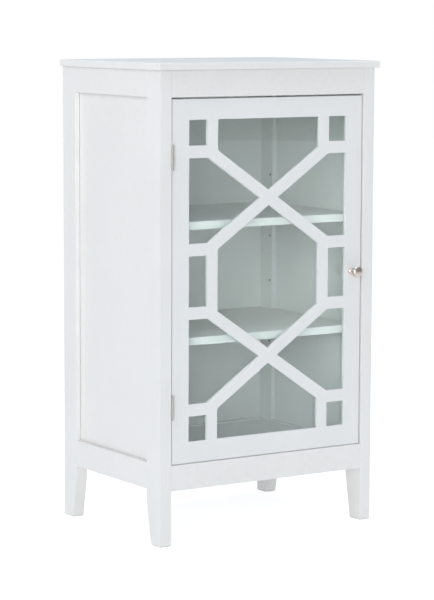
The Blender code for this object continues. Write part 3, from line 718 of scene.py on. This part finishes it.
class CABINET_OT_side_frames(CabinetOperator, bpy.types.Operator):
    """The side rails and their thin recessed panels."""

    bl_idname = "cabinet.side_frames"
    bl_label = "Side frames"

    def build(self, context):
        for side in SIDES:
            panel = f"side_panel_{side}"
            upper, lower = f"side_rail_upper_{side}", f"side_rail_lower_{side}"
            board(upper, "deep", cutters=[groove_cutter(panel, "Z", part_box(upper)[0].z)])
            board(lower, "deep", cutters=[groove_cutter(panel, "Z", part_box(lower)[1].z)])
            board(panel, "upright", radius=FINE_EASE)


class CABINET_OT_cross_rails(CabinetOperator, bpy.types.Operator):
    """The rails between the posts at the front and at the back."""

    bl_idname = "cabinet.cross_rails"
    bl_label = "Front and rear rails"

    def build(self, context):
        board("front_rail_upper", "across")
        board("front_rail_lower", "across")
        for rail, corner in (("rear_rail_upper", 0), ("rear_rail_lower", 1)):
            board(rail, "across", cutters=[groove_cutter("back_panel", "Z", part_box(rail)[corner].z)])


class CABINET_OT_carcass_boards(CabinetOperator, bpy.types.Operator):
    """The top, the floor and the back panel."""

    bl_idname = "cabinet.carcass_boards"
    bl_label = "Top, floor and back"

    def build(self, context):
        board("top_board", "across", radius=measures().top_ease)
        board("bottom_board", "across")
        board("back_panel", "upright", radius=FINE_EASE)


class CABINET_OT_shelves(CabinetOperator, bpy.types.Operator):
    """Two loose shelves, notched round the posts."""

    bl_idname = "cabinet.shelves"
    bl_label = "Shelves"

    def build(self, context):
        for level in LEVELS:
            node = f"shelf_{level}"
            shelf = ease(merged_copy(node), measures().board_ease)
            hang(polish(shelf), f"{level}_shelf", "shelf_lacquer_across", "white_lacquer", node)


class CABINET_OT_shelf_pins(CabinetOperator, bpy.types.Operator):
    """Eight turned shelf pins: a shank in the post, a collar and a round rest."""

    bl_idname = "cabinet.shelf_pins"
    bl_label = "Shelf pins"

    def build(self, context):
        nodes = [f"shelf_pin_{level}_{end}_{side}" for side in SIDES for level in LEVELS for end in ENDS]
        pin = self.make_pin(nodes[0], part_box("post_front_left")[1].x)
        for piece, node in zip(twins(pin, nodes, turned_side="right"), nodes):
            hang(piece, "cabinet", "pin_nickel", "brushed_nickel", node)

    def make_pin(self, node, wood):
        """A pin for a left post, whose inner face is at wood."""
        low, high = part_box(node)
        rest, collar, shank, chamfer = 0.0025, 0.0036, 0.0022, 0.0003
        reach, tip = high.x - wood, wood - low.x
        profile = [(0.0, reach), (rest * 0.72, reach), (rest * 0.93, reach - chamfer),
                   (rest, reach - 0.0008), (rest, 0.0019), (rest + 0.0002, 0.0017),
                   (collar - chamfer, 0.0017), (collar, 0.0014), (collar, 0.0006),
                   (collar - chamfer, GAP), (shank, GAP), (shank, 0.0008 - tip),
                   (shank * 0.8, -tip), (0.0, -tip)]
        middle = centre_of(node)
        return polish(turned(node + "_finished", profile, (wood, middle.y, middle.z), "X", steps=24))


class CABINET_OT_fretwork(CabinetOperator, bpy.types.Operator):
    """The one-piece fretwork board on the face of the door, every front edge eased."""

    bl_idname = "cabinet.fretwork"
    bl_label = "Fretwork board"

    def build(self, context):
        node = "door_fretwork_board"
        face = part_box(node)[0].y
        hole = centre_of("knob_screw").x

        def on_face(first, second):
            under_knob = all(near(point.x, hole, slack=0.004) for point in (first, second))
            return near(first.y, face) and near(second.y, face) and not under_knob

        fretwork = ease(merged_copy(node), measures().fret_ease, on_face)
        hang(polish(fretwork), "door", "door_lacquer_upright", "door_lacquer", node)


class CABINET_OT_door_frame(CabinetOperator, bpy.types.Operator):
    """Stiles, rails and glazing beads behind the fretwork."""

    bl_idname = "cabinet.door_frame"
    bl_label = "Door frame and beads"

    def build(self, context):
        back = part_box("door_stile_knob_side")[1].y
        strike = centre_of("catch_strike_screw")
        strike_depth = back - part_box("catch_strike_screw")[0].y + GAP
        bores = [
            rod("screw_hole_cutter", centre_of("knob_screw"), WIDE_BORE, length=0.08, axis="Y"),
            rod("strike_hole_cutter", (strike.x, back, strike.z), NARROW_BORE, 2 * strike_depth, "Y")]
        board("door_stile_knob_side", "upright", "door", cutters=bores)
        board("door_stile_hinge_side", "upright", "door")
        board("door_rail_upper", "across", "door")
        board("door_rail_lower", "across", "door")
        for places, grain in ((SIDES, "upright"), (LEVELS, "across")):
            for place in places:
                board(f"glass_bead_{place}", grain, "door", radius=BEAD_EASE)


class CABINET_OT_glass(CabinetOperator, bpy.types.Operator):
    """The green-tinted pane, its edges ground."""

    bl_idname = "cabinet.glass"
    bl_label = "Glass"

    def build(self, context):
        pane = ease(block("door_glass_finished", *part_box("door_glass")), FINE_EASE, segments=1)
        pick(pane)
        bpy.ops.object.shade_flat()
        hang(pane, "door", "float_glass", "tinted_glass", "door_glass")


class CABINET_OT_knob(CabinetOperator, bpy.types.Operator):
    """The mushroom knob and the machine screw that holds it."""

    bl_idname = "cabinet.knob"
    bl_label = "Knob"

    def build(self, context):
        low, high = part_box("door_knob")
        screw_low, screw_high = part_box("knob_screw")
        middle = (low + high) / 2
        root = (middle.x, high.y + GAP, middle.z)
        reach = root[1] - low.y
        head = (high.x - low.x) / 2
        base, neck, depth, rise = 0.0068, 0.0038, 0.012, 0.0052
        dome = [(head * math.sin(math.radians(a)), reach - rise * (1 - math.cos(math.radians(a))))
                for a in range(0, 76, 15)]
        lip = [(head * 0.985, reach - 0.0045), (head, reach - 0.0055), (head, reach - 0.0064),
               (head * 0.965, reach - 0.0078), (head * 0.86, reach - 0.0092),
               (head * 0.66, reach - 0.0108)]
        stem = [(head * 0.46, reach - 0.0124), (neck * 1.06, reach - 0.0144), (neck, reach - 0.0165),
                (neck, 0.0066), (neck * 1.12, 0.0052), (base * 0.80, 0.0042), (base * 0.94, 0.0036),
                (base, 0.0028), (base, 0.0010), (base * 0.96, GAP)]
        bore = [(WIDE_BORE, GAP), (WIDE_BORE, depth), (0.0, depth)]
        knob = turned("door_knob_finished", dome + lip + stem + bore, root, "-Y", steps=64)
        hang(polish(knob), "door", "knob_nickel", "brushed_nickel", "door_knob")

        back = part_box("door_stile_knob_side")[1].y
        tip = back - screw_low.y
        crown = screw_high.y - back
        shank, cap = 0.0019, 0.0040
        profile = [(0.0, tip), (0.0014, tip), (shank, tip - 0.0007), (shank, -GAP), (cap - 0.0001, -GAP),
                   (cap, -0.0007), (0.0036, -0.0014), (0.0024, 0.0001 - crown), (0.0, -crown)]
        screw = turned("knob_screw_finished", profile, (middle.x, back, middle.z), "-Y", steps=32)
        cross_recess(screw, (middle.x, screw_high.y, middle.z), "Y", shank)
        hang(polish(screw), "door", "zinc_plate", "zinc_steel", "knob_screw")


def cross_recess(screw, crown, axis, reach, depth=0.0010, half_width=0.00035):
    """Sinks the cross of a screwdriver's recess into a screw's head."""
    crown = Vector(crown)
    index = "XYZ".index(axis)
    others = [i for i in range(3) if i != index]
    for arm in (0, 1):
        half = Vector((0.0, 0.0, 0.0))
        half[index] = depth
        half[others[arm]] = reach
        half[others[1 - arm]] = half_width
        carve(screw, block("recess_cutter", crown - half, crown + half))


class CABINET_OT_hinges(CabinetOperator, bpy.types.Operator):
    """Two butt hinges: leaves with knuckles, pins with tips, and their countersunk screws."""

    bl_idname = "cabinet.hinges"
    bl_label = "Hinges"
    screw_spread = 0.3           # each screw's height from the leaf's middle, as a share of its height
    screw_setback = 0.62         # the screws' distance behind the knuckles, as a share of its depth

    def build(self, context):
        axis = centre_of("hinge_upper_pin")
        drop = centre_of("hinge_lower_pin") - axis
        made = [(self.make_pin(axis), "cabinet", "hinge_nickel", "pin")]
        screw = None
        for leaf, sign, body in (("frame", -1, "cabinet"), ("door", 1, "door")):
            piece, places = self.make_leaf(leaf, sign, axis)
            made.append((piece, body, "hinge_nickel", f"{leaf}_leaf"))
            for number, place in enumerate(places, start=1):
                name = f"hinge_upper_{leaf}_leaf_screw_{number}"
                if screw is None:
                    first, screw = place, self.make_screw(name, place)
                    copy = screw
                else:
                    copy = twin(screw, name, place - first, first if sign > 0 else None)
                made.append((copy, body, "pin_nickel", None))
        lower = [(twin(piece, piece.name.replace("upper", "lower"), drop), body, kind, part)
                 for piece, body, kind, part in made]
        for level, hinge in (("upper", made), ("lower", lower)):
            for piece, body, kind, part in hinge:
                nodes = [f"hinge_{level}_{part}"] if part else []
                hang(piece, body, kind, "brushed_nickel", *nodes)

    def make_leaf(self, leaf, sign, axis):
        """A leaf of the upper hinge, and where its screws sit."""
        node = f"hinge_upper_{leaf}_leaf"
        low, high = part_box(node)
        radius = axis.y - low.y
        wood = self.wood_face(sign)
        plate_x = sorted((wood, wood - sign * LEAF_THICKNESS))
        front = axis.y + radius + 2 * GAP
        piece = block(node + "_finished", (plate_x[0], front, low.z), (plate_x[1], high.y, high.z))
        inner = max(abs(x - axis.x) for x in plate_x)
        ease(piece, LEAF_CORNER, lambda first, second: near(first.y, high.y) and near(second.y, high.y)
             and near(first.z, second.z), segments=4)
        third = (high.z - low.z) / 3
        outer = [(low.z, low.z + third - GAP / 2), (high.z - third + GAP / 2, high.z)]
        spans = outer if leaf == "frame" else [(low.z + third + GAP / 2, high.z - third - GAP / 2)]
        for bottom, top in spans:
            middle = (axis.x, axis.y, (bottom + top) / 2)
            carve(piece, block("bridge", (plate_x[0], axis.y, bottom), (plate_x[1], front + inner, top)),
                  rod("knuckle", middle, radius, top - bottom, "Z", sides=32), operation="UNION")
        carve(piece, rod("bore_cutter", axis, KNUCKLE_BORE, 1.2 * (high.z - low.z), "Z"))
        head = measures().hinge_screw_radius
        places = []
        for step in (-self.screw_spread, self.screw_spread):
            place = Vector((plate_x[1] if sign < 0 else plate_x[0],
                            low.y + (high.y - low.y) * self.screw_setback,
                            (low.z + high.z) / 2 + step * (high.z - low.z)))
            sink = turned("sink_cutter", [(0.0, -0.001), (head + 0.001, -0.001), (head + 0.0001, 0.0),
                                          (head * 0.62, 0.0009), (head * 0.62, 0.004), (0.0, 0.004)],
                          place, "-X" if sign < 0 else "X", steps=24)
            carve(piece, sink)
            places.append(place)
        return polish(piece), places

    def wood_face(self, sign):
        """The leaf's face against the wood, on the post's side of the axis (-1) or the door's (1)."""
        post_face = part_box("post_front_left")[1].x
        door_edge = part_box("door_stile_hinge_side")[0].x
        return post_face + GAP if sign < 0 else door_edge - GAP

    def make_screw(self, name, place):
        """A flat-head screw that points into the post, its head flush with the leaf."""
        head = measures().hinge_screw_radius
        profile = [(0.0, 0.00005), (head * 0.93, 0.00005), (head - 0.0001, 0.00015),
                   (head * 0.50, 0.0010), (head * 0.50, 0.0105), (head * 0.12, 0.0130), (0.0, 0.0130)]
        screw = turned(name, profile, place, "-X", steps=24)
        cross_recess(screw, place, "X", head * 0.55)
        return polish(screw)

    def make_pin(self, axis):
        """A pin as long as its node, with a rounded tip beyond each end of the knuckles."""
        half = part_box("hinge_upper_pin")[1].z - axis.z
        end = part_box("hinge_upper_frame_leaf")[1].z - centre_of("hinge_upper_frame_leaf").z + GAP
        shank, tip = 0.0010, 0.0018
        upper = [(0.0, half), (0.0008, half - 0.0001), (0.0015, half - 0.0006), (tip, half - 0.0012),
                 (0.0017, end), (shank, end)]
        profile = upper + [(radius, -distance) for radius, distance in reversed(upper)]
        return polish(turned("hinge_upper_pin_finished", profile, axis, "Z", steps=32))


class CABINET_OT_catch(CabinetOperator, bpy.types.Operator):
    """The magnetic catch and its strike plate, with their screws."""

    bl_idname = "cabinet.catch"
    bl_label = "Magnetic catch"

    def build(self, context):
        housing = ease(merged_copy("catch_housing"), BEAD_EASE, self.outside_of("catch_housing"))
        hang(polish(housing), "cabinet", "moulded_white", "white_plastic", "catch_housing")
        magnet = ease(block("catch_magnet_finished", *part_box("catch_magnet")), FINE_EASE, segments=2)
        hang(polish(magnet), "cabinet", "ferrite_black", "magnet_black", "catch_magnet")
        strike = ease(merged_copy("catch_strike_plate"), PLATE_EASE,
                      self.outside_of("catch_strike_plate"), segments=2)
        hang(polish(strike), "door", "zinc_plate", "zinc_steel", "catch_strike_plate")

        nodes = ["catch_screw_lower", "catch_screw_upper"]
        screws = twins(self.make_screw(nodes[0], "X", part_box("catch_housing")[0].x), nodes)
        strike_screw = self.make_screw("catch_strike_screw", "-Y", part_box("catch_strike_plate")[1].y)
        for piece, node in zip(screws, nodes):
            hang(piece, "cabinet", "zinc_plate", "zinc_steel", node)
        hang(strike_screw, "door", "zinc_plate", "zinc_steel", "catch_strike_screw")

    def outside_of(self, node):
        """True for edges that lie on the node's box, so that its pocket and holes stay crisp."""
        low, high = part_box(node)

        def on_box(point):
            return sum(near(point[i], low[i]) or near(point[i], high[i]) for i in range(3)) >= 2

        return lambda first, second: on_box(first) and on_box(second)

    def make_screw(self, node, into, seat):
        """A pan-head screw, its head seated on a face at this place along its axis."""
        axis = into.strip("-")
        index = "XYZ".index(axis)
        low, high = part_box(node)
        place = centre_of(node)
        place[index] = seat
        crown, tip = sorted((high[index] - seat, seat - low[index]))
        shank, head = 0.0013, 0.0028
        profile = [(0.0, tip), (shank * 0.4, tip - 0.0004), (shank, tip - 0.0030), (shank, -GAP),
                   (head, -GAP), (head * 0.97, -0.0006), (head * 0.80, -0.0011),
                   (head * 0.45, 0.0001 - crown), (0.0, -crown)]
        screw = turned(node + "_finished", profile, place, into, steps=24)
        cross_recess(screw, place - direction(into) * crown, axis, head * 0.5)
        return polish(screw)


class CABINET_OT_stage(CabinetOperator, bpy.types.Operator):
    """A plain pale floor, soft light from all round and the camera."""

    bl_idname = "cabinet.stage"
    bl_label = "Stage"

    lamps = (
        {"name": "overhead", "place": (0.1, -0.1, 3.1), "target": (0.0, 0.0, 0.9),
         "size": 2.4, "power": 38.0, "colour": (0.86, 0.94, 1.0)},
        {"name": "key_left", "place": (-1.5, -0.4, 1.7), "target": (-0.25, 0.0, 0.7),
         "size": 1.0, "power": 6.0, "colour": (0.92, 0.97, 1.0)},
    )
    floor_drop = 0.0001          # how far the floor lies below the glides
    floor_strength = 0.58
    floor_share = 0.36           # of the floor's glow that lights the cabinet
    window_edge = (0.90, 0.98)   # cosines at the window's outer and inner edge
    window_tint = (1.0, 0.987, 0.968)
    sky_low, sky_high = grey(0.16), (0.51, 0.55, 0.61, 1.0)

    def build(self, context):
        stage = context.scene.cabinet_stage
        pick()
        bpy.ops.mesh.primitive_circle_add(vertices=96, radius=stage.floor_radius, fill_type="NGON",
                                          location=(0.0, 0.0, -self.floor_drop))
        floor = added("studio_floor")
        recipe = Recipe("studio_floor")
        speckle = recipe.noise(3.0, detail=3.0)
        bright = recipe.ray("Is Camera Ray") + recipe.ray("Is Transmission Ray")
        recipe.feed(Base_Color=recipe.blend(speckle, grey(0.86), grey(0.88)),
                    Roughness=0.9, Specular_IOR_Level=0.0, Emission_Strength=self.floor_strength,
                    Emission_Color=recipe.blend(bright, grey(self.floor_share), grey(1.0)))
        floor.data.materials.append(recipe.material)

        self.make_sky(context.scene, stage)
        for lamp in self.lamps:
            self.make_lamp(**lamp)
        self.make_camera(context.scene, stage)
        context.scene.view_settings.view_transform = "Standard"
        context.scene.view_settings.look = "None"

    def make_sky(self, scene, stage):
        """A surround that looks white and lights from the front left, bluer overhead."""
        world = bpy.data.worlds.new("studio_surround")
        scene.world = world
        world.use_nodes = True
        sky = Tree(world.node_tree)
        way = sky.node("ShaderNodeTexCoord").outputs["Generated"]
        parts = sky.node("ShaderNodeSeparateXYZ", sockets={"Vector": way})
        facing = sky.node("ShaderNodeVectorMath", {"operation": "DOT_PRODUCT"}, {
            0: way, 1: Vector(stage.window_direction).normalized()})
        window = Value(sky, facing.outputs["Value"]).step(*self.window_edge) * stage.window_strength
        glow = sky.node("ShaderNodeCombineColor", sockets={
            i: window * part for i, part in enumerate(self.window_tint)})
        high = Value(sky, parts.outputs["Z"]).step(0.0, 0.95)
        shade = sky.blend(high, self.sky_low, self.sky_high)
        lit = sky.blend(1.0, shade, glow.outputs["Color"], "ADD")
        direct = 1.0 - sky.ray("Diffuse Depth").step(0.0, 1.0)
        through = sky.ray("Is Transmission Ray")
        seen = (sky.ray("Is Camera Ray") + through) * direct
        behind_glass = through * (1.0 - direct)
        backdrop = sky.tree.nodes["Background"]
        sky.set(backdrop.inputs["Color"], sky.blend(seen, lit, grey(1.0)))
        sky.set(backdrop.inputs["Strength"], 1.0 + behind_glass * stage.glass_boost)

    def make_lamp(self, name, place, target, size, power, colour):
        """A round lamp that faces its target."""
        light = bpy.data.lights.new(name, "AREA")
        light.shape = "DISK"
        light.size = size
        light.energy = power
        light.color = colour
        lamp = bpy.data.objects.new(name, light)
        bpy.context.scene.collection.objects.link(lamp)
        lamp.location = place
        lamp.rotation_euler = (Vector(target) - Vector(place)).to_track_quat("-Z", "Y").to_euler()

    def make_camera(self, scene, stage):
        """The camera at the front left, a long way off with a long lens."""
        lens = bpy.data.cameras.new("front_left_camera")
        lens.sensor_fit = "HORIZONTAL"
        lens.sensor_width = 36.0
        lens.lens = stage.camera_lens
        lens.clip_end = 60.0
        camera = bpy.data.objects.new("front_left_camera", lens)
        scene.collection.objects.link(camera)
        camera.location = stage.camera_place
        facing = Matrix.Rotation(-stage.camera_azimuth, 4, "Z") @ Matrix.Rotation(
            math.pi / 2 - stage.camera_tilt, 4, "X")
        camera.rotation_euler = (facing @ Matrix.Rotation(stage.camera_roll, 4, "Z")).to_euler()
        scene.camera = camera


pieces = (CABINET_OT_posts, CABINET_OT_foot_glides, CABINET_OT_side_frames, CABINET_OT_cross_rails,
          CABINET_OT_carcass_boards, CABINET_OT_shelves, CABINET_OT_shelf_pins, CABINET_OT_fretwork,
          CABINET_OT_door_frame, CABINET_OT_glass, CABINET_OT_knob, CABINET_OT_hinges, CABINET_OT_catch,
          CABINET_OT_stage)


class CABINET_PT_pieces(bpy.types.Panel):
    """Lists the cabinet's operators and settings."""

    bl_idname = "CABINET_PT_pieces"
    bl_label = "Apothecary cabinet"
    bl_space_type = "VIEW_3D"
    bl_region_type = "UI"
    bl_category = "Cabinet"

    def draw(self, context):
        for piece in pieces:
            self.layout.operator(piece.bl_idname)
        for name, group in groups.items():
            column = self.layout.column()
            for setting in group.__annotations__:
                column.prop(getattr(context.scene, name), setting)


groups = {"cabinet_sizes": CabinetSizes, "cabinet_finish": CabinetFinish, "cabinet_stage": CabinetStage}


def register():
    for name, group in groups.items():
        bpy.utils.register_class(group)
        setattr(bpy.types.Scene, name, bpy.props.PointerProperty(type=group))
    for item in (*pieces, CABINET_PT_pieces):
        bpy.utils.register_class(item)


def unregister():
    for item in (CABINET_PT_pieces, *reversed(pieces)):
        bpy.utils.unregister_class(item)
    for name, group in groups.items():
        delattr(bpy.types.Scene, name)
        bpy.utils.unregister_class(group)


def main():
    register()
    for piece in pieces:
        family, name = piece.bl_idname.split(".")
        getattr(getattr(bpy.ops, family), name)()


if __name__ == "__main__":
    main()
